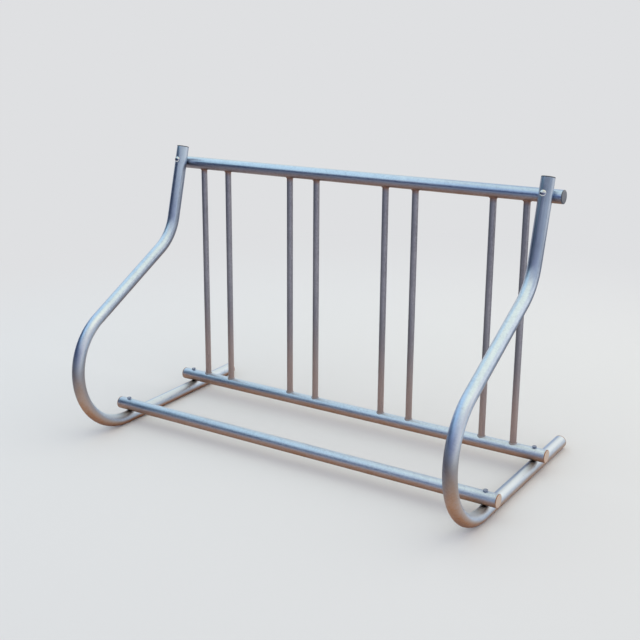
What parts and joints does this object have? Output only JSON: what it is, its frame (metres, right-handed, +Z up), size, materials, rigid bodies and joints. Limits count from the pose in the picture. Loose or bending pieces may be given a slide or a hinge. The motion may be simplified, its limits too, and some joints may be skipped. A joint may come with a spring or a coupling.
{
  "type": "bicycle rack",
  "caption": "Free-standing bicycle rack of bent galvanised pipe: curved side frames carry three rails, and upright pickets in pairs hold a front wheel between them.",
  "frame": {"origin": "on the ground, under the middle of the rack's overall box", "axes": "+X along the rails, to the right as a rider faces the pickets; +Y from the curved fronts towards the back; +Z up"},
  "size_m": [1.48, 0.831, 0.9456],
  "materials": {
    "galvanised_pipe": "satin galvanised",
    "zinc_fastener": "bright zinc plated",
    "pressed_cap": "satin pressed steel"
  },
  "bodies": {
    "root": {"front_lower_rail": "galvanised_pipe", "front_lower_rail_plug_left": "pressed_cap", "front_lower_rail_plug_right": "pressed_cap", "lower_bolt_front_left": "zinc_fastener", "lower_bolt_front_right": "zinc_fastener", "lower_bolt_rear_left": "zinc_fastener", "lower_bolt_rear_right": "zinc_fastener", "lower_nut_front_left": "zinc_fastener", "lower_nut_front_right": "zinc_fastener", "lower_nut_rear_left": "zinc_fastener", "lower_nut_rear_right": "zinc_fastener", "lower_washer_front_left": "zinc_fastener", "lower_washer_front_right": "zinc_fastener", "lower_washer_rear_left": "zinc_fastener", "lower_washer_rear_right": "zinc_fastener", "picket_1": "galvanised_pipe", "picket_2": "galvanised_pipe", "picket_3": "galvanised_pipe", "picket_4": "galvanised_pipe", "picket_5": "galvanised_pipe", "picket_6": "galvanised_pipe", "picket_7": "galvanised_pipe", "picket_8": "galvanised_pipe", "rear_lower_rail": "galvanised_pipe", "rear_lower_rail_plug_left": "pressed_cap", "rear_lower_rail_plug_right": "pressed_cap", "side_frame_left": "galvanised_pipe", "side_frame_rear_plug_left": "pressed_cap", "side_frame_rear_plug_right": "pressed_cap", "side_frame_right": "galvanised_pipe", "side_frame_top_plug_left": "pressed_cap", "side_frame_top_plug_right": "pressed_cap", "top_bolt_left": "zinc_fastener", "top_bolt_right": "zinc_fastener", "top_nut_left": "zinc_fastener", "top_nut_right": "zinc_fastener", "top_rail": "galvanised_pipe", "top_rail_plug_left": "pressed_cap", "top_rail_plug_right": "pressed_cap", "top_washer_left": "zinc_fastener", "top_washer_right": "zinc_fastener"}
  },
  "joints": []
}
